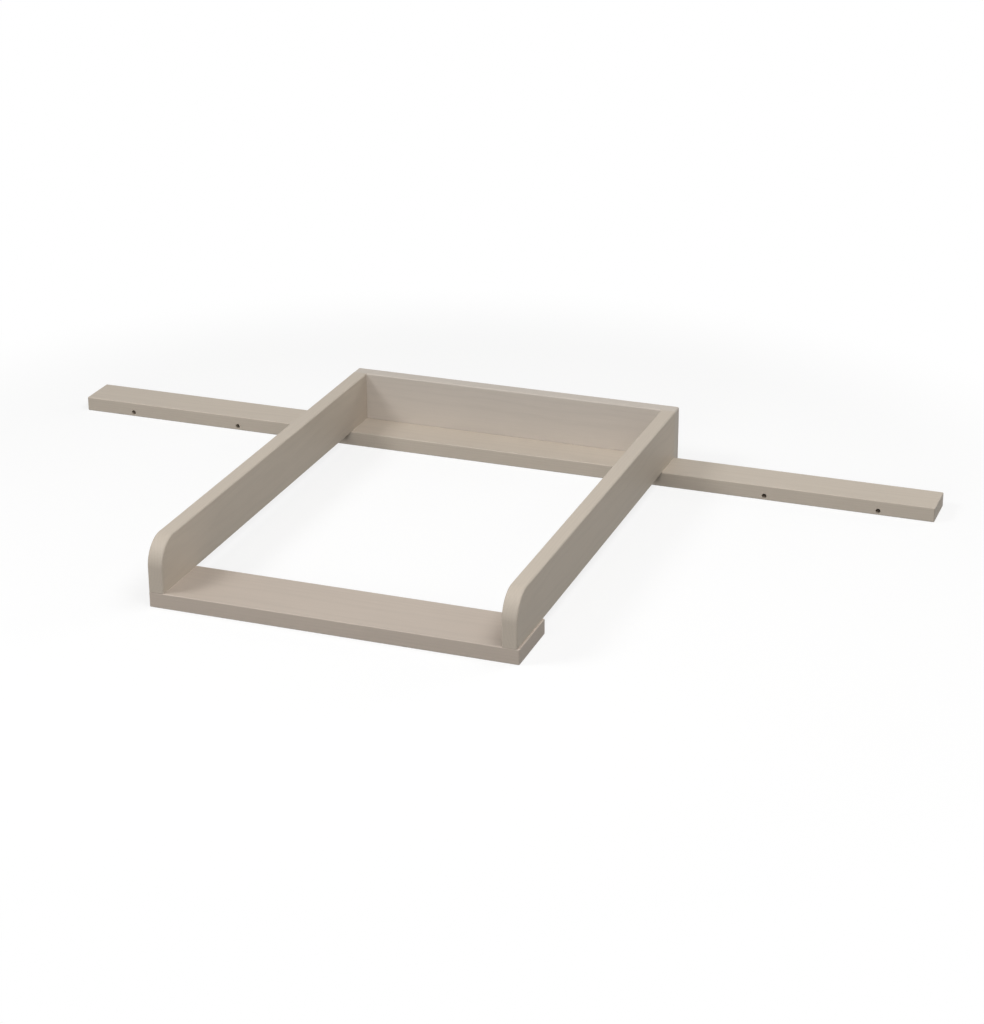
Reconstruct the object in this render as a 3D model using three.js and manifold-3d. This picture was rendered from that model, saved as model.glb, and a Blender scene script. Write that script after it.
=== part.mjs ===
import * as THREE from "three";
import { mergeVertices } from "three/addons/utils/BufferGeometryUtils.js";
import Module from "manifold-3d";

const wasm = await Module();
wasm.setup();

// Changing table topper: an open frame of five lacquered boards, held together by countersunk
// wood screws and dowels. It stands on z = 0 and its front is towards -Y. The rear bar runs
// along X and is centred on x = 0. Lengths are in millimetres.

// Driving sizes of the frame
const BOARD = 23; // thickness of every board
const BAY_WIDTH = 500; // clear width between the side panels, for the mat
const SIDE_LENGTH = 735; // front edge of a side panel to its rear end
const FRAME_HEIGHT = 100; // underside to the top of the side and back panels
const FRAME_OFFSET = 15; // centre plane of the frame, to the right of the bar's middle
const RAIL_DEPTH = 104; // front rail, front to back
const RAIL_PROUD = 3; // how far the rail's right end stands out; its left end is flush
const BAR_LENGTH = 1430;
const BAR_DEPTH = 68; // rear bar, front to back
const CORNER_RADIUS = 40; // front top corner of the side panels

// Rounded edges of the boards. Where two boards meet flush, their edges stay square.
const PANEL_ARRIS = 2.5; // side panels and back panel
const FLAT_ARRIS = 1.5; // front rail and rear bar
const CORNER_EASE = 0.5; // a board's short corner edges are rounder than its long ones by this

// Level holes in the bar's front edge: a wide mouth for the head, then a through hole
const WALL_HOLES_FROM_LEFT = [86, 277];
const WALL_HOLES_FROM_RIGHT = [86, 263];
const WALL_HOLE_HEIGHT = 6.5; // centre above the underside
const WALL_HOLE_MOUTH = 7.6; // diameter
const WALL_HOLE_MOUTH_DEPTH = 38;
const WALL_HOLE_BORE = 5; // diameter

// Countersunk wood screw with a cross recess
const SCREW_LENGTH = 50;
const SCREW_HEAD = 9.6; // diameter
const SCREW_HEAD_RIM = 0.5; // straight edge round the head
const SCREW_HEAD_DEPTH = 3.3; // rim and cone together
const SCREW_SHANK = 3.6; // diameter under the head
const SCREW_THREAD = 5; // diameter
const SCREW_PLAIN_LENGTH = 20; // head and shank together
const SCREW_TIP = 6; // length of the point
const SCREW_SUNK = 0.6; // the head lies this far below the board's face
const RECESS_SPAN = 5.2; // across the cross
const RECESS_WIDTH = 1.1; // of each arm
const RECESS_DEPTH = 2.2;

// Dowel
const DOWEL = 8; // diameter
const DOWEL_LENGTH = 30;
const DOWEL_CHAMFER = 1;
const DOWEL_END_ROOM = 1; // spare depth of its hole at each end

// Where the fasteners sit
const RAIL_SCREW_INSET = 22; // from the rail's front and rear edges
const BAR_SCREW_INSET = 17; // from the bar's front and rear edges
const BACK_BAR_SCREW_SPACING = 150;
const BACK_BAR_DOWEL_SPACING = 150;
// Heights at the side panels' rear ends, as shares of the wood left above the upright screws
const BACK_SCREW_SHARES = { lower: 0.22, upper: 0.78 };
const BACK_DOWEL_SHARE = 0.5;

// Clearance of a fastener in its hole, and overrun of a cut past the face that it opens
const CLEARANCE = 0.3;
const OVERRUN = 1;

// Corners closer than this are one corner
const MERGE_DISTANCE = 0.001;

// Sides of the round pieces, and steps of the rounded edges and corners
const ROUND_SIDES = 16;
const ARRIS_STEPS = 3;
const CORNER_STEPS = 12;

// Places that follow from the sizes
const DEPTH = SIDE_LENGTH + BOARD;
const FRONT = -DEPTH / 2;
const BACK_FACE = FRONT + SIDE_LENGTH; // front face of the back panel, rear edge of the bar
const REAR = BACK_FACE + BOARD;
const FRAME_WIDTH = BAY_WIDTH + 2 * BOARD;
const PANEL_OFFSET = (BAY_WIDTH + BOARD) / 2; // frame's centre plane to a side panel's middle

const LACQUER = { color: 0xb6a796, roughness: 0.55, metalness: 0 };
const BARE_WOOD = { color: 0xd2b48c, roughness: 0.8, metalness: 0 };
const ZINC = { color: 0xb9bcc0, roughness: 0.35, metalness: 0.9 };

// A closed geometry as a solid, with only its positions kept and its shared corners merged
function solidOf(geometry) {
  const bare = geometry.clone();
  bare.deleteAttribute("normal");
  bare.deleteAttribute("uv");
  const merged = mergeVertices(bare, MERGE_DISTANCE);
  return new wasm.Manifold(
    new wasm.Mesh({
      numProp: 3,
      vertProperties: merged.attributes.position.array,
      triVerts: new Uint32Array(merged.index.array),
    }),
  );
}

function geometryOf(solid) {
  const mesh = solid.getMesh();
  const geometry = new THREE.BufferGeometry();
  geometry.setAttribute("position", new THREE.BufferAttribute(mesh.vertProperties, 3));
  geometry.setIndex(new THREE.BufferAttribute(mesh.triVerts, 1));
  geometry.computeVertexNormals();
  return geometry;
}

// A box between its lowest and highest corners
function block(low, high) {
  const size = high.map((value, axis) => value - low[axis]);
  const centre = high.map((value, axis) => (value + low[axis]) / 2);
  return solidOf(new THREE.BoxGeometry(...size).translate(...centre));
}

// A board with rounded edges: its outline drawn in its own plane, `thickness` deep from z = 0 up
function boardGeometry(outline, thickness, arris, cornerSteps) {
  return new THREE.ExtrudeGeometry(outline, {
    depth: thickness - 2 * arris,
    bevelThickness: arris,
    bevelSize: arris,
    bevelOffset: -arris,
    bevelSegments: ARRIS_STEPS,
    curveSegments: cornerSteps,
  }).translate(0, 0, arris);
}

// A rectangular board, centred on the Z axis, with its short corner edges eased as well
function rectangularBoard(width, height, thickness, arris) {
  const radius = arris + CORNER_EASE;
  const right = width / 2 - radius;
  const top = height / 2 - radius;
  const quarter = Math.PI / 2;
  const outline = new THREE.Shape();
  outline.absarc(right, top, radius, 0, quarter, false);
  outline.absarc(-right, top, radius, quarter, 2 * quarter, false);
  outline.absarc(-right, -top, radius, 2 * quarter, 3 * quarter, false);
  outline.absarc(right, -top, radius, 3 * quarter, 4 * quarter, false);
  outline.closePath();
  return boardGeometry(outline, thickness, arris, ARRIS_STEPS);
}

// A turned piece on the Z axis from [radius, z] pairs, listed from its lower end to its upper end
function turned(profile) {
  const points = profile.map(([radius, z]) => new THREE.Vector2(radius, z));
  return solidOf(new THREE.LatheGeometry(points, ROUND_SIDES).rotateX(Math.PI / 2));
}

// The screw stands point up, with its head's flat on z = 0. `room` widens it into its own hole.
function screwProfile(room) {
  const head = SCREW_HEAD / 2 + room;
  const shank = SCREW_SHANK / 2 + room;
  const thread = SCREW_THREAD / 2 + room;
  return [
    [0, 0],
    [head, 0],
    [head, SCREW_HEAD_RIM + room],
    [shank, SCREW_HEAD_DEPTH + room],
    [shank, SCREW_PLAIN_LENGTH],
    [thread, SCREW_PLAIN_LENGTH + (SCREW_THREAD - SCREW_SHANK) / 2],
    [thread, SCREW_LENGTH - SCREW_TIP],
    [0, SCREW_LENGTH + room],
  ];
}

// The cross recess is two crossed slots in the head's flat. The head is sunk below the board.
function screwSolid() {
  const slot = new THREE.BoxGeometry(RECESS_SPAN, RECESS_WIDTH, 2 * RECESS_DEPTH);
  const crossed = slot.clone().rotateZ(Math.PI / 2);
  return turned(screwProfile(0))
    .subtract(solidOf(slot).add(solidOf(crossed)))
    .translate([0, 0, SCREW_SUNK]);
}

// The hole that a sunk screw needs: its own shape with room round it, open at the board's face
function screwHole() {
  const mouth = SCREW_HEAD / 2 + CLEARANCE;
  const opening = turned([
    [0, -OVERRUN],
    [mouth, -OVERRUN],
    [mouth, SCREW_SUNK + SCREW_HEAD_RIM],
    [0, SCREW_SUNK + SCREW_HEAD_RIM],
  ]);
  return turned(screwProfile(CLEARANCE)).translate([0, 0, SCREW_SUNK]).add(opening);
}

// The dowel is centred on the joint, half in each board.
function dowelSolid(room, endRoom) {
  const radius = DOWEL / 2 + room;
  const half = DOWEL_LENGTH / 2 + endRoom;
  return turned([
    [0, -half],
    [radius - DOWEL_CHAMFER, -half],
    [radius, DOWEL_CHAMFER - half],
    [radius, half - DOWEL_CHAMFER],
    [radius - DOWEL_CHAMFER, half],
    [0, half],
  ]);
}

// Turns about X, in degrees: upwards from below, forwards from behind, backwards from the front
const UP = 0;
const FORWARD = 90;
const BACKWARD = -90;

function placed(solid, { at, turn }) {
  return solid.rotate([turn, 0, 0]).translate(at);
}

// Places of the screws and dowels at the side panels
const screws = [];
const dowels = [];
const uprightTip = SCREW_SUNK + SCREW_LENGTH;
const heightAt = (share) => uprightTip + share * (FRAME_HEIGHT - uprightTip);
for (const [side, sign] of [["left", -1], ["right", 1]]) {
  const x = FRAME_OFFSET + sign * PANEL_OFFSET;
  for (const [joint, front, depth, inset] of [
    ["rail", FRONT, RAIL_DEPTH, RAIL_SCREW_INSET],
    ["bar", BACK_FACE - BAR_DEPTH, BAR_DEPTH, BAR_SCREW_INSET],
  ]) {
    const name = `${joint}_screw_${side}`;
    screws.push({ name: `${name}_front`, at: [x, front + inset, 0], turn: UP });
    screws.push({ name: `${name}_rear`, at: [x, front + depth - inset, 0], turn: UP });
    dowels.push({ name: `${joint}_dowel_${side}`, at: [x, front + depth / 2, BOARD], turn: UP });
  }
  for (const [level, share] of Object.entries(BACK_SCREW_SHARES)) {
    const name = `back_screw_${side}_${level}`;
    screws.push({ name, at: [x, REAR, heightAt(share)], turn: FORWARD });
  }
  const at = [x, BACK_FACE, heightAt(BACK_DOWEL_SHARE)];
  dowels.push({ name: `back_dowel_${side}`, at, turn: FORWARD });
}

// Places of the screws and dowels between the back panel and the bar's rear edge
for (const [place, step] of [["left", -1], ["middle", 0], ["right", 1]]) {
  const at = [FRAME_OFFSET + step * BACK_BAR_SCREW_SPACING, REAR, BOARD / 2];
  screws.push({ name: `back_bar_screw_${place}`, at, turn: FORWARD });
}
for (const [place, sign] of [["left", -1], ["right", 1]]) {
  const at = [FRAME_OFFSET + (sign * BACK_BAR_DOWEL_SPACING) / 2, BACK_FACE, BOARD / 2];
  dowels.push({ name: `back_bar_dowel_${place}`, at, turn: FORWARD });
}

const screw = screwSolid();
const dowel = dowelSolid(0, 0);
const fastenerHoles = [
  ...screws.map((place) => placed(screwHole(), place)),
  ...dowels.map((place) => placed(dowelSolid(CLEARANCE, DOWEL_END_ROOM), place)),
];

const topper = new THREE.Group();

function add(name, solid, finish) {
  const mesh = new THREE.Mesh(geometryOf(solid), new THREE.MeshStandardMaterial(finish));
  mesh.name = name;
  topper.add(mesh);
}

function addBoard(name, board, ownHoles = []) {
  const holes = [...fastenerHoles, ...ownHoles];
  add(name, holes.reduce((rest, hole) => rest.subtract(hole), board), LACQUER);
}

// How far a board is drawn past an end that is then cut square, so that no rounding is left there
const SQUARING = PANEL_ARRIS + OVERRUN;

// Side panel: the outline has y along the panel and z up. It is cut square where it meets the
// back panel, the rail and the bar.
function sidePanel(sign) {
  const x = FRAME_OFFSET + sign * PANEL_OFFSET;
  const bottom = BOARD - SQUARING;
  const rear = BACK_FACE + SQUARING;
  const arcY = FRONT + CORNER_RADIUS;
  const arcZ = FRAME_HEIGHT - CORNER_RADIUS;
  const outline = new THREE.Shape();
  outline.moveTo(FRONT, bottom);
  outline.lineTo(rear, bottom);
  outline.lineTo(rear, FRAME_HEIGHT);
  outline.absarc(arcY, arcZ, CORNER_RADIUS, Math.PI / 2, Math.PI, false);
  outline.closePath();
  const panel = boardGeometry(outline, BOARD, PANEL_ARRIS, CORNER_STEPS)
    .rotateX(Math.PI / 2)
    .rotateZ(Math.PI / 2)
    .translate(x - BOARD / 2, 0, 0);
  const kept = block(
    [x - BOARD, FRONT - OVERRUN, BOARD],
    [x + BOARD, BACK_FACE, FRAME_HEIGHT + OVERRUN],
  );
  return solidOf(panel).intersect(kept);
}
addBoard("left_side_panel", sidePanel(-1));
addBoard("right_side_panel", sidePanel(1));

// Back panel, behind the side panels and the bar. Its front edges are rounded along the bay only,
// and square behind the side panels, where the two lie flush.
function backPanel() {
  const standing = (thickness) =>
    solidOf(
      rectangularBoard(FRAME_WIDTH, FRAME_HEIGHT, thickness, PANEL_ARRIS)
        .rotateX(Math.PI / 2)
        .translate(FRAME_OFFSET, REAR, FRAME_HEIGHT / 2),
    );
  const front = BACK_FACE - SQUARING - OVERRUN;
  const lowest = -OVERRUN;
  const highest = FRAME_HEIGHT + OVERRUN;
  const bay = block(
    [FRAME_OFFSET - BAY_WIDTH / 2, front, lowest],
    [FRAME_OFFSET + BAY_WIDTH / 2, REAR + OVERRUN, highest],
  );
  const ahead = block(
    [FRAME_OFFSET - FRAME_WIDTH, front, lowest],
    [FRAME_OFFSET + FRAME_WIDTH, BACK_FACE, highest],
  );
  const squareFronted = standing(BOARD + SQUARING).subtract(ahead);
  return standing(BOARD).intersect(bay).add(squareFronted.subtract(bay));
}
addBoard("back_panel", backPanel());

// Front rail, flat under the side panels' front ends
addBoard(
  "front_rail",
  solidOf(
    rectangularBoard(FRAME_WIDTH + RAIL_PROUD, RAIL_DEPTH, BOARD, FLAT_ARRIS)
      .translate(FRAME_OFFSET + RAIL_PROUD / 2, FRONT + RAIL_DEPTH / 2, 0),
  ),
);

// Rear bar, flat under the side panels' rear ends, with its level holes from front to rear edge
function wallHoles() {
  const mouth = WALL_HOLE_MOUTH / 2;
  const bore = WALL_HOLE_BORE / 2;
  const hole = turned([
    [0, -OVERRUN],
    [mouth, -OVERRUN],
    [mouth, WALL_HOLE_MOUTH_DEPTH],
    [bore, WALL_HOLE_MOUTH_DEPTH],
    [bore, BAR_DEPTH + OVERRUN],
    [0, BAR_DEPTH + OVERRUN],
  ]);
  const places = [
    ...WALL_HOLES_FROM_LEFT.map((inset) => inset - BAR_LENGTH / 2),
    ...WALL_HOLES_FROM_RIGHT.map((inset) => BAR_LENGTH / 2 - inset),
  ];
  return places.map((x) =>
    placed(hole, { at: [x, BACK_FACE - BAR_DEPTH, WALL_HOLE_HEIGHT], turn: BACKWARD }),
  );
}
addBoard(
  "rear_bar",
  solidOf(
    rectangularBoard(BAR_LENGTH, BAR_DEPTH, BOARD, FLAT_ARRIS)
      .translate(0, BACK_FACE - BAR_DEPTH / 2, 0),
  ),
  wallHoles(),
);

// The fasteners themselves, each in its own hole
for (const place of screws) add(place.name, placed(screw, place), ZINC);
for (const place of dowels) add(place.name, placed(dowel, place), BARE_WOOD);

export default topper;
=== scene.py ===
import math

import bmesh
import bpy
import numpy as np
from mathutils import Matrix, Vector


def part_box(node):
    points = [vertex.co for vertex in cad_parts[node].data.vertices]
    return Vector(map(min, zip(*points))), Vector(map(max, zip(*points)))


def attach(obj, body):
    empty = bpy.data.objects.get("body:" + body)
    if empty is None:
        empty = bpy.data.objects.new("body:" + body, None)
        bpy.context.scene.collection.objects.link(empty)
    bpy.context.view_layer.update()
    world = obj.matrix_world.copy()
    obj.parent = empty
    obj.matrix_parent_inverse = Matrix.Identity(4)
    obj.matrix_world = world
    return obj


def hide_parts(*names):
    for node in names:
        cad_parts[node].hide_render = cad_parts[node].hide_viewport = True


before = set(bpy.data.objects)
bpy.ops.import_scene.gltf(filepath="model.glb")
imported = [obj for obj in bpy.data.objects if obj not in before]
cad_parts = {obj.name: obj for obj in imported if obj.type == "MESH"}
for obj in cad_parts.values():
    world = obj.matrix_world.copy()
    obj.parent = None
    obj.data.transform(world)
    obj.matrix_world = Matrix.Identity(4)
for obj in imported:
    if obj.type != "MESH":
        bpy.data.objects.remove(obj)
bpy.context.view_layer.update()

# Camera
# It stands well in front, further to the right than the bar reaches, and looks down over the
# frame through a long lens, as the photograph does.
AIM = Vector((0.0760, 0.1009, 0.0007))
AIM_DISTANCE = 3.8978
AZIMUTH = math.radians(20.225)  # from straight ahead, towards the bar's right-hand end
ELEVATION = math.radians(22.868)
ROLL = math.radians(-0.208)
PHOTO_WIDTH = 984
FOCAL_PIXELS = 2566.4
SENSOR_WIDTH = 36  # millimetres, as the lens's focal length is

backward = Vector((
    math.sin(AZIMUTH) * math.cos(ELEVATION),
    -math.cos(AZIMUTH) * math.cos(ELEVATION),
    math.sin(ELEVATION),
))
level_right = Vector((0, 0, 1)).cross(backward).normalized()
level_up = backward.cross(level_right)
right = math.cos(ROLL) * level_right + math.sin(ROLL) * level_up
up = math.cos(ROLL) * level_up - math.sin(ROLL) * level_right
lens = bpy.data.cameras.new("camera")
lens.sensor_fit = "HORIZONTAL"
lens.sensor_width = SENSOR_WIDTH
lens.lens = FOCAL_PIXELS / PHOTO_WIDTH * SENSOR_WIDTH
camera = bpy.data.objects.new("camera", lens)
turned_view = Matrix((right, up, backward)).transposed().to_4x4()
camera.matrix_world = Matrix.Translation(AIM + AIM_DISTANCE * backward) @ turned_view
bpy.context.scene.collection.objects.link(camera)
bpy.context.scene.camera = camera
bpy.context.scene.view_settings.view_transform = "Standard"


# Floor and light
# A wide pale floor under soft lamps. The camera sees the floor and the world as white, and the
# floor darkens only where the topper's shadow falls on it.
class Signal:
    """One output in a node tree. Arithmetic on it adds Math nodes to the tree, and `node` adds
    any other node from its type, its settings and the values or signals of its sockets."""

    def __init__(self, tree, socket=None):
        self.tree = tree
        self.socket = socket

    def node(self, kind, settings=(), inputs=(), output=0):
        made = self.tree.nodes.new("ShaderNode" + kind)
        for name, value in dict(settings).items():
            setattr(made, name, value)
        for key, value in dict(inputs).items():
            if isinstance(value, Signal):
                self.tree.links.new(value.socket, made.inputs[key])
            else:
                made.inputs[key].default_value = value
        return Signal(self.tree, made.outputs[output] if made.outputs else None)

    def other(self, name):
        """Another output of the same node."""
        return Signal(self.tree, self.socket.node.outputs[name])

    def math(self, operation, *values):
        return self.node("Math", {"operation": operation}, enumerate(values))

    def __add__(self, other):
        return self.math("ADD", self, other)

    def __radd__(self, other):
        return self.math("ADD", other, self)

    def __sub__(self, other):
        return self.math("SUBTRACT", self, other)

    def __rsub__(self, other):
        return self.math("SUBTRACT", other, self)

    def __mul__(self, other):
        return self.math("MULTIPLY", self, other)

    def __rmul__(self, other):
        return self.math("MULTIPLY", other, self)

    def __pow__(self, other):
        return self.math("POWER", self, other)

    def __rpow__(self, other):
        return self.math("POWER", other, self)

    def between(self, low, high):
        """0 up to `low` and 1 from `high` on, with a smooth rise between them."""
        return self.node(
            "MapRange", {"interpolation_type": "SMOOTHSTEP"},
            {"Value": self, "From Min": low, "From Max": high},
        )


def open_tree(owner):
    """The empty node tree of a material or the world, as a signal to build from."""
    owner.use_nodes = True
    owner.node_tree.nodes.clear()
    return Signal(owner.node_tree)


def shown(tree):
    """1 for a ray that shows a surface to the camera: straight, in a reflection or through
    glass."""
    camera_ray = tree.node("LightPath", output="Is Camera Ray")
    straight_or_glossy = tree.math("MAXIMUM", camera_ray, camera_ray.other("Is Glossy Ray"))
    return tree.math("MAXIMUM", straight_or_glossy, camera_ray.other("Is Transmission Ray"))


def blend(tree, share, first, second):
    """A shader that goes from the first to the second as the share goes from 0 to 1."""
    return tree.node("MixShader", {}, {0: share, 1: first, 2: second})


WHITE = (1, 1, 1, 1)
SKY_STRENGTH = 0.2
world = bpy.data.worlds.new("studio")
bpy.context.scene.world = world
tree = open_tree(world)
sky = tree.node("Background", {}, {"Color": WHITE, "Strength": SKY_STRENGTH})
backdrop = tree.node("Background", {}, {"Color": WHITE, "Strength": 1})
tree.node("OutputWorld", {}, {"Surface": blend(tree, shown(tree), sky, backdrop)})

FLOOR_HALF = 30  # from its middle to each edge
FLOOR_DROP = 0.0002  # keeps it just clear of the boards' undersides
FLOOR_BOUNCE = (0.18, 0.18, 0.175, 1)  # what the floor gives back to the topper
SHADOW_SHARE = 0.25  # share of the floor's white that a shadow can take away
SHADOW_REACH = (0.8, 1.2)  # distances at which the shadow starts to fade and is gone
floor_mesh = bpy.data.meshes.new("floor")
floor_corners = np.array([[-1, -1, 0], [1, -1, 0], [1, 1, 0], [-1, 1, 0]]) * FLOOR_HALF
floor_mesh.from_pydata(floor_corners - [0, 0, FLOOR_DROP], [], [range(4)])
floor_paint = bpy.data.materials.new("white_floor")
tree = open_tree(floor_paint)
bounce = tree.node("BsdfDiffuse", {}, {"Color": FLOOR_BOUNCE})
lit = tree.node("BsdfDiffuse", {}, {"Color": WHITE})
glow = tree.node("Emission", {}, {"Color": WHITE, "Strength": 1})
floor_place = tree.node("TexCoord", output="Object")
from_middle = tree.node("VectorMath", {"operation": "LENGTH"}, {0: floor_place}, "Value")
shadow = (1 - from_middle.between(*SHADOW_REACH)) * SHADOW_SHARE
white = blend(tree, shadow, glow, lit)
tree.node("OutputMaterial", {}, {"Surface": blend(tree, shown(tree), bounce, white)})
floor_mesh.materials.append(floor_paint)
floor = bpy.data.objects.new("floor", floor_mesh)
bpy.context.scene.collection.objects.link(floor)

PLAIN_LIGHT = (1, 1, 1)
WARM_LIGHT = (1, 0.98, 0.88)


def softbox(name, place, size, power, color=PLAIN_LIGHT):
    """A square lamp at `place` that faces the middle of the topper, with its power in watts."""
    lamp = bpy.data.lights.new(name, "AREA")
    lamp.size = size
    lamp.energy = power
    lamp.color = color
    softbox_object = bpy.data.objects.new(name, lamp)
    place = Vector(place)
    softbox_object.location = place
    softbox_object.rotation_euler = place.to_track_quat("Z", "Y").to_euler()
    bpy.context.scene.collection.objects.link(softbox_object)


softbox("left_overhead", (-1.8, -1.3, 2.2), 0.95, 35)
softbox("right_overhead", (1.0, -0.9, 2.2), 1.0, 16.5)
softbox("rear_overhead", (1.0, 0.3, 2.2), 1.0, 13)
softbox("low_front", (0.2, -4.2, 1.0), 1.4, 50)
softbox("right_rear", (3.0, 3.2, 1.6), 1.4, 26, WARM_LIGHT)

# Rear bar
# A long length of board under the rear ends of the side panels, with its edges rounded over and
# finished in matt taupe lacquer. Four level screw holes run through it from its front edge.
ROUNDING_STEPS = 6
CORNER_EASE = 0.0005
FLAT_ARRIS = 0.0015


def eased_rectangle(width, height, radius):
    """Outline of a rectangle round the origin and its outward directions. A corner's points are
    centre + radius * (cos a, sin a), for a through a quarter turn."""
    quarter = np.linspace(0, math.pi / 2, ROUNDING_STEPS + 1)
    angle = (np.arange(4)[:, None] * math.pi / 2 + quarter).ravel()
    outward = np.stack([np.cos(angle), np.sin(angle)], axis=1)
    signs = np.array([[1, 1], [-1, 1], [-1, -1], [1, -1]])
    centres = signs * (np.array([width, height]) / 2 - radius)
    return np.repeat(centres, len(quarter), axis=0) + radius * outward, outward


def closed_rings(rows, columns):
    """Quads between rings of points that close on themselves, each ring lying past the last."""
    first = np.arange(rows - 1)[:, None] * columns
    second = first + columns
    this = np.arange(columns)
    following = (this + 1) % columns
    return np.stack([first + this, first + following, second + following, second + this], axis=2)


def weld(mesh):
    """Joins points that lie on each other and drops the faces that close up."""
    merge = 1e-6
    shape = bmesh.new()
    shape.from_mesh(mesh)
    bmesh.ops.remove_doubles(shape, verts=shape.verts, dist=merge)
    bmesh.ops.dissolve_degenerate(shape, edges=shape.edges, dist=merge)
    shape.to_mesh(mesh)
    shape.free()


def ring_mesh(name, rings, **attributes):
    """A closed mesh from an array of rings of points, with a face over its first and last ring.
    An attribute holds one number for each point."""
    rows, columns = rings.shape[:2]
    ring = np.arange(columns)
    caps = [ring[::-1].tolist(), (ring + (rows - 1) * columns).tolist()]
    faces = closed_rings(rows, columns).reshape(-1, 4).tolist() + caps
    mesh = bpy.data.meshes.new(name)
    mesh.from_pydata(rings.reshape(-1, 3), [], faces)
    for key, values in attributes.items():
        layer = mesh.attributes.new(key, "FLOAT", "POINT")
        layer.data.foreach_set("value", np.ascontiguousarray(values, dtype=np.float32).ravel())
    weld(mesh)
    return mesh


def board_mesh(name, outline, outward, near, far, axes, origin, along):
    """A board with rounded-over edges, as rings of its outline stacked through its thickness.
    Where the rounding has radius r, the ring at angle a lies r * (1 - sin a) inside the outline
    and r * (1 - cos a) in from the face. `near` and `far` hold, for each face, its distance
    along the third axis and its radii. `axes` are the outline's two axes and that third one.
    Attributes mark the rounded edges, and the end grain where the board's length, `along`,
    comes out."""
    count = len(outline)
    angle = np.linspace(0, math.pi / 2, ROUNDING_STEPS + 1)[:, None]

    def rings(face, radii, inward):
        radii = np.broadcast_to(radii, count)
        flat = outline - outward * (radii * (1 - np.sin(angle)))[..., None]
        depth = face + inward * radii * (1 - np.cos(angle))
        return np.concatenate([flat, depth[..., None]], axis=2), (radii > 0) * np.sin(2 * angle)

    near_rings, near_edge = rings(*near, 1)
    far_rings, far_edge = rings(*far, -1)
    axes = np.array(axes, float)
    points = np.concatenate([near_rings, far_rings[::-1]]) @ axes + np.array(origin)
    sideways = np.concatenate([np.sin(angle), np.sin(angle)[::-1]])
    end = np.abs(outward @ (axes[:2] @ np.array(along))) * sideways
    return ring_mesh(name, points, arris=np.concatenate([near_edge, far_edge[::-1]]), end_grain=end)


def turned(profile, sides):
    """Rings of a surface of revolution about Z: a profile point (radius, height) becomes the ring
    radius * (cos a, sin a) at that height."""
    profile = np.array(profile)
    angle = np.arange(sides) * 2 * math.pi / sides
    flat = profile[:, None, :1] * np.stack([np.cos(angle), np.sin(angle)], axis=1)
    height = np.broadcast_to(profile[:, None, 1:], (len(profile), sides, 1))
    return np.concatenate([flat, height], axis=2)


# The holes for the screws and dowels follow their solids' places. An upright one starts at its
# lower end and points up, and one whose name starts with "back" starts at the rear and points
# forwards.
HOLE_SIDES = 48
OVERRUN = 0.001
CLEARANCE = 0.0003
SCREW_HEAD_RADIUS = 0.0048
SCREW_HEAD_RIM = 0.0005
SCREW_HEAD_DEPTH = 0.0033
SCREW_THREAD_RADIUS = 0.0025
SCREW_SUNK = 0.0006
DOWEL_RADIUS = 0.004
DOWEL_END_ROOM = 0.001
FORWARDS = Matrix.Rotation(math.pi / 2, 4, "X")
REARWARDS = Matrix.Rotation(-math.pi / 2, 4, "X")


def start(name):
    """The turn and shift that take a fastener made from the origin upwards to its node's place."""
    low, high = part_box(name)
    middle = (low + high) / 2
    if name.startswith("back"):
        return Matrix.Translation((middle.x, high.y, middle.z)) @ FORWARDS
    return Matrix.Translation((middle.x, middle.y, low.z))


def fastener_length(name):
    return max(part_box(name)[1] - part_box(name)[0])


def bore(profile, place):
    """A drill's shape, from its profile (radius, height), turned and shifted to its place."""
    mesh = ring_mesh("bore", turned(profile, HOLE_SIDES))
    mesh.transform(place)
    return mesh


def screw_bore(name):
    """A countersunk hole that ends past the screw's tip. It is wider than the screw, but for its
    neck, where the cone of the head presses into the wood."""
    head = SCREW_HEAD_RADIUS + CLEARANCE
    thread = SCREW_THREAD_RADIUS + CLEARANCE
    mouth = -SCREW_SUNK - OVERRUN
    neck = SCREW_HEAD_DEPTH - (SCREW_THREAD_RADIUS - CLEARANCE) / 2
    bottom = fastener_length(name) + CLEARANCE
    profile = [
        (0, mouth),
        (head, mouth),
        (head, SCREW_HEAD_RIM),
        (thread, neck),
        (thread, bottom),
        (0, bottom),
    ]
    return bore(profile, start(name))


def dowel_bore(name):
    """A plain hole that is wider than the dowel all round and has room past both its ends."""
    radius = DOWEL_RADIUS + CLEARANCE
    bottom = -DOWEL_END_ROOM
    top = fastener_length(name) + DOWEL_END_ROOM
    return bore([(0, bottom), (radius, bottom), (radius, top), (0, top)], start(name))


fasteners = [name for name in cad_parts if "screw" in name or "dowel" in name]
bores = {name: screw_bore(name) if "screw" in name else dowel_bore(name) for name in fasteners}


def overlaps(first, second):
    """Whether two nodes' boxes share any space."""
    low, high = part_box(first)
    other_low, other_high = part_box(second)
    return all(low[i] < other_high[i] and other_low[i] < high[i] for i in range(3))


def drilled(mesh, tools):
    """A copy of the mesh with the tools' shapes taken out."""
    piece = bpy.data.objects.new("drilled", mesh)
    bpy.context.scene.collection.objects.link(piece)
    shape = bmesh.new()
    for tool in tools:
        shape.from_mesh(tool)
    joined = bpy.data.meshes.new("tools")
    shape.to_mesh(joined)
    shape.free()
    cutter = bpy.data.objects.new("cutter", joined)
    bpy.context.scene.collection.objects.link(cutter)
    cut = piece.modifiers.new("cut", "BOOLEAN")
    cut.operation = "DIFFERENCE"
    cut.solver = "EXACT"
    cut.object = cutter
    evaluated = piece.evaluated_get(bpy.context.evaluated_depsgraph_get())
    result = bpy.data.meshes.new_from_object(evaluated)
    bpy.data.objects.remove(piece)
    bpy.data.objects.remove(cutter)
    return result


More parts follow.
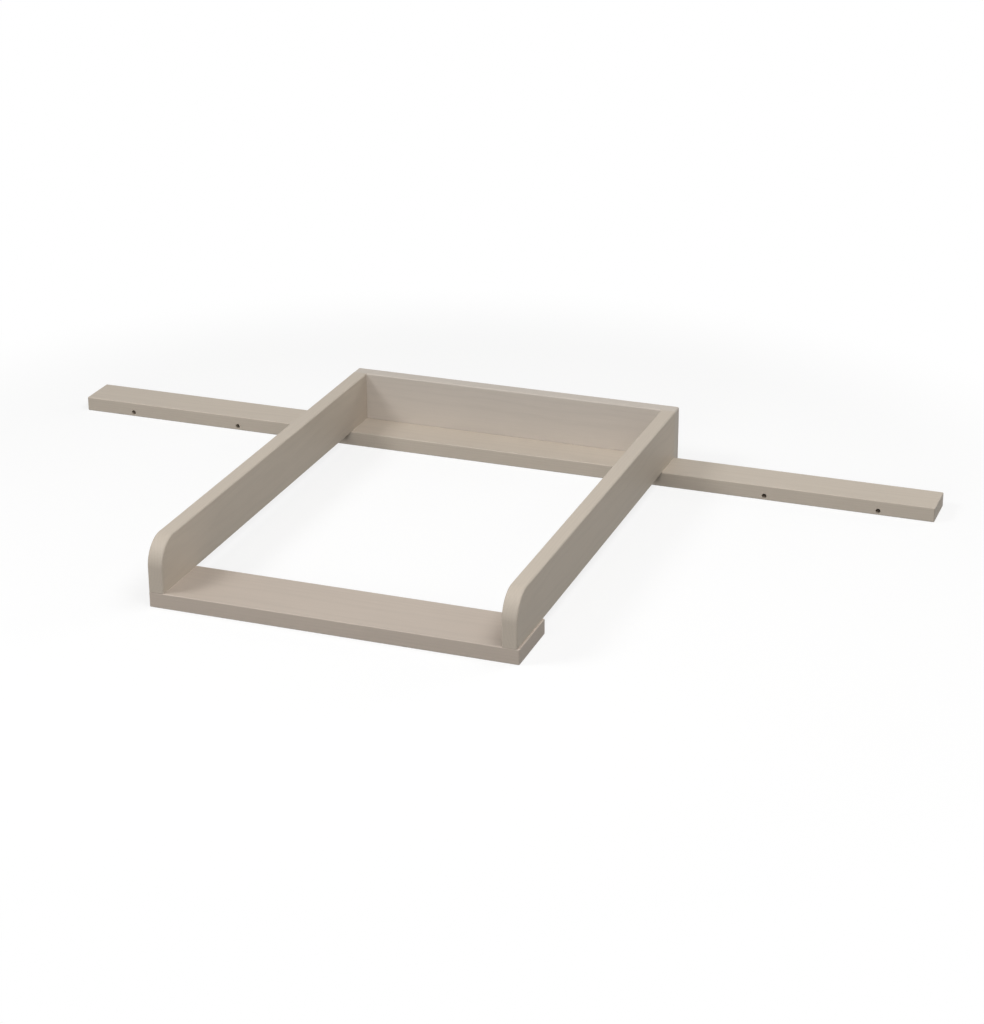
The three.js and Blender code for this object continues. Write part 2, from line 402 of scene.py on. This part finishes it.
def place_piece(mesh, node, material):
    """Puts a finished mesh, smooth but for its sharp edges, in its node's place."""
    sharpest_smooth = math.radians(35)
    piece = bpy.data.objects.new(f"{node}_finished", mesh)
    bpy.context.scene.collection.objects.link(piece)
    mesh.materials.clear()
    mesh.materials.append(material)
    mesh.shade_smooth()
    mesh.set_sharp_from_angle(angle=sharpest_smooth)
    flat_faces = piece.modifiers.new("flat_faces", "WEIGHTED_NORMAL")
    flat_faces.keep_sharp = True
    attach(piece, "root")
    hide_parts(node)


def place_board(mesh, node, material, more_tools=()):
    """Drills a board for its screws and dowels and puts it in its node's place."""
    tools = [bores[name] for name in fasteners if overlaps(node, name)]
    place_piece(drilled(mesh, tools + list(more_tools)), node, material)


def noise(tree, place, scale, detail=2, stretch=(1, 1, 1)):
    """A noise from 0 to 1 with `scale` features a metre, times the axis's number in `stretch`."""
    stretched = tree.node("Mapping", {}, {"Vector": place, "Scale": stretch})
    return tree.node("TexNoise", {}, {"Vector": stretched, "Scale": scale, "Detail": detail})


def drawn_out(along, share):
    """The stretch of a noise that has `share` features along the wood for each one across it."""
    return tuple(share if step else 1 for step in along)


def colour_between(tree, share, first, second):
    """A colour that goes from the first to the second as the share goes from 0 to 1. A Mix node
    has a set of sockets for each kind of value, so those for colours go by number."""
    share_socket, first_socket, second_socket, result_socket = 0, 6, 7, 2
    inputs = {share_socket: share, first_socket: (*first, 1), second_socket: (*second, 1)}
    return tree.node("Mix", {"data_type": "RGBA"}, inputs, result_socket)


LACQUER = np.array([0.515, 0.450, 0.376])
LACQUER_SPREAD = 0.3  # from the mean to the darkest and the palest tone
LACQUER_ROUGHNESS = 0.55
NOISE_MEAN = 0.5

# The wood. Its rings are in metres, its scales in features a metre, and its bounds are the values
# between which a feature sets in.
RING_WIDTH = 0.0042
RING_WANDER = 0.012
LATEWOOD_SHARPNESS = 3
WANDER_SCALE = 14
WANDER_STRETCH = 0.25
STREAK_SCALE = 500
PORE_SCALE = 2200
PORE_BOUNDS = (0.62, 0.7)
FIBRE_STRETCH = 0.03
END_GRAIN_BOUNDS = (0.3, 1)

# The lacquer's own features: clouds in the coat, its orange peel, and edges rubbed by use
CLOUD_SCALE = 9
PEEL_SCALE = 650
RUBBED_SCALE = 60
RUBBED_BOUNDS = (0.42, 0.62)

# How far each feature moves the tone, from 0 for the darkest to 1 for the palest
MEAN_TONE = 0.5
CLOUD_TONE = 0.16
STREAK_TONE = 0.16
LATEWOOD_DARKER = 0.05
PORE_DARKER = 0.03
END_GRAIN_DARKER = 0.08
RUBBED_PALER = 0.03

# How far each feature moves the roughness, and the relief as a share of its full height
CLOUD_ROUGHNESS = 0.12
PEEL_ROUGHNESS = 0.04
RUBBED_SMOOTHER = 0.08
RELIEF = 0.00006
PEEL_HEIGHT = 0.5
LATEWOOD_HEIGHT = 0.25
PORE_DEPTH = 0.5
STREAK_HEIGHT = 0.3


def lacquer(name, along, pith, tint=1):
    """Matt lacquer sprayed over wood that was cut with its length on the axis `along`. Growth
    rings are circles round a pith, which lies at the point `pith` and wanders a little along the
    board. They show through the lacquer as faint streaks, and as arcs on the end grain."""
    material = bpy.data.materials.new(name)
    tree = open_tree(material)
    place = tree.node("TexCoord", output="Object")
    fibres = drawn_out(along, FIBRE_STRETCH)
    wander_stretch = drawn_out(along, WANDER_STRETCH)
    wander = noise(tree, place, WANDER_SCALE, stretch=wander_stretch) - NOISE_MEAN
    from_pith = tree.node("VectorMath", {"operation": "SUBTRACT"}, {0: place, 1: pith})
    across_wood = tuple(1 - step for step in along)
    across = tree.node("VectorMath", {"operation": "MULTIPLY"}, {0: from_pith, 1: across_wood})
    distance = tree.node("VectorMath", {"operation": "LENGTH"}, {0: across}, "Value")
    radius = distance + RING_WANDER * wander
    ring = tree.math("SINE", radius * (2 * math.pi / RING_WIDTH)) * 0.5 + 0.5
    latewood = ring ** LATEWOOD_SHARPNESS
    streaks = noise(tree, place, STREAK_SCALE, detail=3, stretch=fibres) - NOISE_MEAN
    pores = noise(tree, place, PORE_SCALE, detail=1, stretch=fibres).between(*PORE_BOUNDS)
    clouds = noise(tree, place, CLOUD_SCALE, detail=3) - NOISE_MEAN
    peel = noise(tree, place, PEEL_SCALE)
    end_grain = tree.node("Attribute", {"attribute_name": "end_grain"}, output="Fac")
    arris = tree.node("Attribute", {"attribute_name": "arris"}, output="Fac")
    rubbed = arris * noise(tree, place, RUBBED_SCALE, detail=4).between(*RUBBED_BOUNDS)

    tone = MEAN_TONE + CLOUD_TONE * clouds + STREAK_TONE * streaks
    tone = tone - LATEWOOD_DARKER * latewood - PORE_DARKER * pores
    tone = tone - END_GRAIN_DARKER * end_grain.between(*END_GRAIN_BOUNDS) + RUBBED_PALER * rubbed
    darkest = LACQUER * tint * (1 - LACQUER_SPREAD)
    palest = LACQUER * tint * (1 + LACQUER_SPREAD)
    height = PEEL_HEIGHT * peel + LATEWOOD_HEIGHT * latewood - PORE_DEPTH * pores
    height = height + STREAK_HEIGHT * streaks
    roughness = LACQUER_ROUGHNESS + CLOUD_ROUGHNESS * clouds + PEEL_ROUGHNESS * peel
    shader = tree.node("BsdfPrincipled", {}, {
        "Base Color": colour_between(tree, tone, darkest, palest),
        "Roughness": roughness - RUBBED_SMOOTHER * rubbed,
        "Normal": tree.node("Bump", {}, {"Height": height, "Distance": RELIEF, "Strength": 1}),
    })
    tree.node("OutputMaterial", {}, {"Surface": shader})
    return material


ALONG_X = (1, 0, 0)
FLAT_AXES = ((1, 0, 0), (0, 1, 0), (0, 0, 1))


def flat_board(node):
    """A rectangular board that lies flat and fills its node's box."""
    low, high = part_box(node)
    middle = (low + high) / 2
    outline, outward = eased_rectangle(high.x - low.x, high.y - low.y, FLAT_ARRIS + CORNER_EASE)
    return board_mesh(
        node, outline, outward, (low.z, FLAT_ARRIS), (high.z, FLAT_ARRIS), FLAT_AXES,
        (middle.x, middle.y, 0), ALONG_X,
    )


WALL_HOLE_HEIGHT = 0.0065
WALL_HOLE_MOUTH = 0.0038
WALL_HOLE_MOUTH_DEPTH = 0.038
WALL_HOLE_BORE = 0.0025
WALL_HOLES_FROM_LEFT = (0.086, 0.277)
WALL_HOLES_FROM_RIGHT = (0.086, 0.263)
BAR_PITH = (0, 0.30, -0.045)
# The bar's lacquer is a little paler than the side panels'.
BAR_TINT = 1.03

bar_low, bar_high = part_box("rear_bar")
through = bar_high.y - bar_low.y + OVERRUN
wall_bore_profile = [
    (0, -OVERRUN),
    (WALL_HOLE_MOUTH, -OVERRUN),
    (WALL_HOLE_MOUTH, WALL_HOLE_MOUTH_DEPTH),
    (WALL_HOLE_BORE, WALL_HOLE_MOUTH_DEPTH),
    (WALL_HOLE_BORE, through),
    (0, through),
]
wall_hole_places = [bar_low.x + inset for inset in WALL_HOLES_FROM_LEFT]
wall_hole_places += [bar_high.x - inset for inset in WALL_HOLES_FROM_RIGHT]
wall_bores = [
    bore(wall_bore_profile, Matrix.Translation((x, bar_low.y, WALL_HOLE_HEIGHT)) @ REARWARDS)
    for x in wall_hole_places
]
bar_lacquer = lacquer("bar_lacquer", ALONG_X, BAR_PITH, BAR_TINT)
place_board(flat_board("rear_bar"), "rear_bar", bar_lacquer, wall_bores)

# Front rail
# A wide flat board under the front ends of the side panels. Its left end is flush with the frame
# and its right end stands out a little.
RAIL_PITH = (0, -0.34, -0.06)
# The rail's lacquer is a little darker than the side panels'.
RAIL_TINT = (0.94, 0.92, 0.935)
rail_lacquer = lacquer("rail_lacquer", ALONG_X, RAIL_PITH, RAIL_TINT)
place_board(flat_board("front_rail"), "front_rail", rail_lacquer)

# Side panels
# Two boards on edge, each with a rounded front top corner. Their rear ends butt against the back
# panel and their lower edges stand on the rail and the bar, so those edges are left square.
PANEL_ARRIS = 0.0025
PANEL_CORNER = 0.040
PANEL_CORNER_STEPS = 40
PANEL_PITH_ASIDE = 0.07
ALONG_Y = (0, 1, 0)
SIDE_AXES = ((0, 1, 0), (0, 0, 1), (1, 0, 0))


def side_panel(node):
    """The outline runs along the square bottom and rear edges, over the rounded top edge, round
    the corner as centre + radius * (cos a, sin a), and down the rounded front edge."""
    low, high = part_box(node)
    front, bottom = low.y, low.z
    rear, top = high.y, high.z
    angle = np.linspace(math.pi / 2, math.pi, PANEL_CORNER_STEPS + 1)
    arc_outward = np.stack([np.cos(angle), np.sin(angle)], axis=1)
    arc = np.array([front + PANEL_CORNER, top - PANEL_CORNER]) + PANEL_CORNER * arc_outward
    square = np.array([[front + PANEL_ARRIS, bottom], [rear, bottom], [rear, top - PANEL_ARRIS]])
    outline = np.concatenate([square, [[rear, top]], arc, [[front, bottom]]])
    outward = np.concatenate([np.zeros((len(square), 2)), [[0, 1]], arc_outward, [[-1, 0]]])
    radii = np.full(len(outline), PANEL_ARRIS)
    radii[:len(square)] = 0
    return board_mesh(
        node, outline, outward, (low.x, radii), (high.x, radii), SIDE_AXES, (0, 0, 0), ALONG_Y
    )


for side, sign in (("left", -1), ("right", 1)):
    node = f"{side}_side_panel"
    low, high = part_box(node)
    pith = ((low.x + high.x) / 2 + sign * PANEL_PITH_ASIDE, 0, (low.z + high.z) / 2)
    place_board(side_panel(node), node, lacquer(f"{side}_lacquer", ALONG_Y, pith))

# Back panel
# The board that closes the frame at the rear. Its front edges are rounded only between the side
# panels: behind them they are left square, so that the boards lie flush.
BACK_AXES = ((1, 0, 0), (0, 0, 1), (0, -1, 0))
BACK_PITH = (0, 0.45, 0.04)
# The back panel's lacquer is paler and bluer than the side panels'.
BACK_TINT = (1.04, 1.07, 1.13)


def back_panel(node):
    """The outline is an eased rectangle with two more pairs of points, at the bay's limits on
    its top and bottom edges, where the front edge's rounding starts and stops."""
    low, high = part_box(node)
    middle = (low + high) / 2
    half_height = (high.z - low.z) / 2
    left_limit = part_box("left_side_panel")[1].x - middle.x
    right_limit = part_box("right_side_panel")[0].x - middle.x
    ease = PANEL_ARRIS + CORNER_EASE
    plain, plain_outward = eased_rectangle(high.x - low.x, 2 * half_height, ease)
    corner = len(plain) // 4
    top = [[x, half_height] for x in (right_limit, right_limit, left_limit, left_limit)]
    bottom = [[x, -half_height] for x in (left_limit, left_limit, right_limit, right_limit)]
    outline = np.concatenate([
        plain[:corner], top, plain[corner:3 * corner], bottom, plain[3 * corner:],
    ])
    four_up = np.tile([0, 1], (4, 1))
    four_down = np.tile([0, -1], (4, 1))
    outward = np.concatenate([
        plain_outward[:corner], four_up, plain_outward[corner:3 * corner], four_down,
        plain_outward[3 * corner:],
    ])
    bay = (outline[:, 0] >= left_limit) & (outline[:, 0] <= right_limit)
    # Of the two points that lie together at each limit, the one outside the bay stays square.
    bay[[corner, corner + 3, 3 * corner + 4, 3 * corner + 7]] = False
    return board_mesh(
        node, outline, outward, (-high.y, PANEL_ARRIS), (-low.y, bay * PANEL_ARRIS), BACK_AXES,
        (middle.x, 0, middle.z), ALONG_X,
    )


back_lacquer = lacquer("back_lacquer", ALONG_X, BACK_PITH, BACK_TINT)
place_board(back_panel("back_panel"), "back_panel", back_lacquer)

# Screws
# Zinc-plated countersunk wood screws with a cross recess, a plain shank and a rolled thread.
# They are sunk just below the boards' faces, from below and from behind.
SCREW_CORE_RADIUS = 0.0016
SCREW_SHANK_RADIUS = 0.0018
SCREW_PLAIN_LENGTH = 0.020
SCREW_TIP = 0.006
SCREW_TIP_FULLNESS = 0.8  # below 1, the tip is fuller than a cone
SCREW_SIDES = 48
THREAD_PITCH = 0.0022
THREAD_FLANK = 0.00045
THREAD_ROW = 0.0002
RECESS_SPAN = 0.0052
RECESS_WIDTH = 0.0011
RECESS_DEPTH = 0.0022
RECESS_TAPER = 0.45


def threaded_screw(length):
    """A screw from its head's face at the origin up to its tip. Past the shank, the radius is the
    core's, plus the thread's height where the height over the pitch less the angle over a full
    turn comes near a whole number. It shrinks to nothing over the tip."""
    head = [
        (0, 0),
        (SCREW_HEAD_RADIUS - CLEARANCE, 0),
        (SCREW_HEAD_RADIUS, CLEARANCE),
        (SCREW_HEAD_RADIUS, SCREW_HEAD_RIM),
        (SCREW_SHANK_RADIUS, SCREW_HEAD_DEPTH),
        (SCREW_SHANK_RADIUS, SCREW_PLAIN_LENGTH),
    ]
    height = np.arange(SCREW_PLAIN_LENGTH + THREAD_ROW, length, THREAD_ROW)[:, None]
    turn = np.arange(SCREW_SIDES) / SCREW_SIDES
    phase = height / THREAD_PITCH - turn
    from_crest = np.abs(phase - np.round(phase)) * THREAD_PITCH
    crest = np.clip(1 - from_crest / THREAD_FLANK, 0, 1)
    run_in = np.clip((height - SCREW_PLAIN_LENGTH) / THREAD_PITCH, 0, 1)
    point = np.clip((length - height) / SCREW_TIP, 0, 1) ** SCREW_TIP_FULLNESS
    core = SCREW_SHANK_RADIUS + (SCREW_CORE_RADIUS - SCREW_SHANK_RADIUS) * run_in
    radius = (core + (SCREW_THREAD_RADIUS - SCREW_CORE_RADIUS) * crest * run_in) * point
    angle = 2 * math.pi * turn
    level = np.broadcast_to(height, radius.shape)
    thread = np.stack([radius * np.cos(angle), radius * np.sin(angle), level], axis=2)
    tip = turned([(0, length)], SCREW_SIDES)
    return ring_mesh("screw", np.concatenate([turned(head, SCREW_SIDES), thread, tip]))


def cross_recess():
    """A cross that shrinks as it goes down into the head, half as much in its arms' width as in
    their reach. Each of the four arms gives three points of the outline: the two corners of its
    end, and the inner corner beside it."""
    quarter = np.array([[0, 1], [-1, 0]])
    rings = []
    for share, depth in ((1, -CLEARANCE), (1, 0), (RECESS_TAPER, RECESS_DEPTH)):
        reach = RECESS_SPAN / 2 * share
        half = RECESS_WIDTH / 2 * (1 + share) / 2
        arm = np.array([[reach, -half], [reach, half], [half, half]])
        outline = np.concatenate([arm @ np.linalg.matrix_power(quarter, k) for k in range(4)])
        rings.append(np.column_stack([outline, np.full(len(outline), depth)]))
    return ring_mesh("recess", np.array(rings))


ZINC = np.array([0.62, 0.62, 0.60])
POLISHED = 1.1
TARNISHED = (0.85, 0.83, 0.78)
BLOOM_SCALE = 900
TARNISH_SCALE = 250
TARNISH_BOUNDS = (0.45, 0.7)
BLOOM_SHARE = 0.7  # of the change in colour, with tarnish for the rest
ZINC_ROUGHNESS = 0.28
BLOOM_ROUGHNESS = 0.2
TARNISH_ROUGHNESS = 0.1

zinc = bpy.data.materials.new("zinc")
tree = open_tree(zinc)
place = tree.node("TexCoord", output="Object")
bloom = noise(tree, place, BLOOM_SCALE, detail=3)
tarnish = noise(tree, place, TARNISH_SCALE).between(*TARNISH_BOUNDS)
dullness = BLOOM_SHARE * bloom + (1 - BLOOM_SHARE) * tarnish
zinc_shader = tree.node("BsdfPrincipled", {}, {
    "Base Color": colour_between(tree, dullness, ZINC * POLISHED, ZINC * TARNISHED),
    "Metallic": 1,
    "Roughness": ZINC_ROUGHNESS + BLOOM_ROUGHNESS * bloom + TARNISH_ROUGHNESS * tarnish,
})
tree.node("OutputMaterial", {}, {"Surface": zinc_shader})

screws = [name for name in fasteners if "screw" in name]
finished_screw = drilled(threaded_screw(fastener_length(screws[0])), [cross_recess()])
for name in screws:
    mesh = finished_screw.copy()
    mesh.transform(start(name))
    place_piece(mesh, name, zinc)

# Dowels
# Bare beech dowels with pressed flutes and chamfered ends. They are glued into both boards at a
# joint and keep them in line.
DOWEL_CHAMFER = 0.001
DOWEL_FLUTES = 20
FLUTE_POINTS = 6
FLUTE_DEPTH = 0.00025


def fluted_dowel(length):
    """A pin from the origin upwards, with chamfered ends. Between them, its radius is less by the
    flutes' depth times the square of (1 - cos (flutes * angle)) / 2."""
    sides = DOWEL_FLUTES * FLUTE_POINTS
    chamfered = DOWEL_RADIUS - DOWEL_CHAMFER / 2
    rings = turned([
        (0, 0),
        (chamfered, 0),
        (DOWEL_RADIUS, DOWEL_CHAMFER),
        (DOWEL_RADIUS, length - DOWEL_CHAMFER),
        (chamfered, length),
        (0, length),
    ], sides)
    angle = np.arange(sides) * 2 * math.pi / sides
    groove = FLUTE_DEPTH * (0.5 - 0.5 * np.cos(DOWEL_FLUTES * angle)) ** 2
    rings[2:4, :, :2] *= (1 - groove / DOWEL_RADIUS)[:, None]
    return ring_mesh("dowel", rings)


BEECH = np.array([0.60, 0.42, 0.26])
PALE_BEECH = 1.15
DARK_BEECH = 0.7
BAND_SCALE = 600
FLECK_SCALE = 3000
FLECK_FINENESS = 6
FLECK_BOUNDS = (0.58, 0.68)
BAND_SHARE = 0.6
FLECK_SHARE = 0.35
BEECH_ROUGHNESS = 0.65
BAND_ROUGHNESS = 0.15
ALONG_Z = (0, 0, 1)


def beech(name, along):
    """Bare beech with bands and fine flecks along its length."""
    material = bpy.data.materials.new(name)
    tree = open_tree(material)
    place = tree.node("TexCoord", output="Object")
    fibres = drawn_out(along, FIBRE_STRETCH)
    fine_fibres = tuple(FLECK_FINENESS * share for share in fibres)
    flecks = noise(tree, place, FLECK_SCALE, stretch=fine_fibres).between(*FLECK_BOUNDS)
    bands = noise(tree, place, BAND_SCALE, stretch=fibres)
    darkness = BAND_SHARE * bands + FLECK_SHARE * flecks
    relief = {"Height": bands - flecks, "Distance": RELIEF, "Strength": 1}
    shader = tree.node("BsdfPrincipled", {}, {
        "Base Color": colour_between(tree, darkness, BEECH * PALE_BEECH, BEECH * DARK_BEECH),
        "Roughness": BEECH_ROUGHNESS + BAND_ROUGHNESS * bands,
        "Normal": tree.node("Bump", {}, relief),
    })
    tree.node("OutputMaterial", {}, {"Surface": shader})
    return material


level_beech = beech("level_beech", ALONG_Y)
upright_beech = beech("upright_beech", ALONG_Z)
for name in fasteners:
    if "dowel" in name:
        mesh = fluted_dowel(fastener_length(name))
        mesh.transform(start(name))
        grain = level_beech if name.startswith("back") else upright_beech
        place_piece(mesh, name, grain)
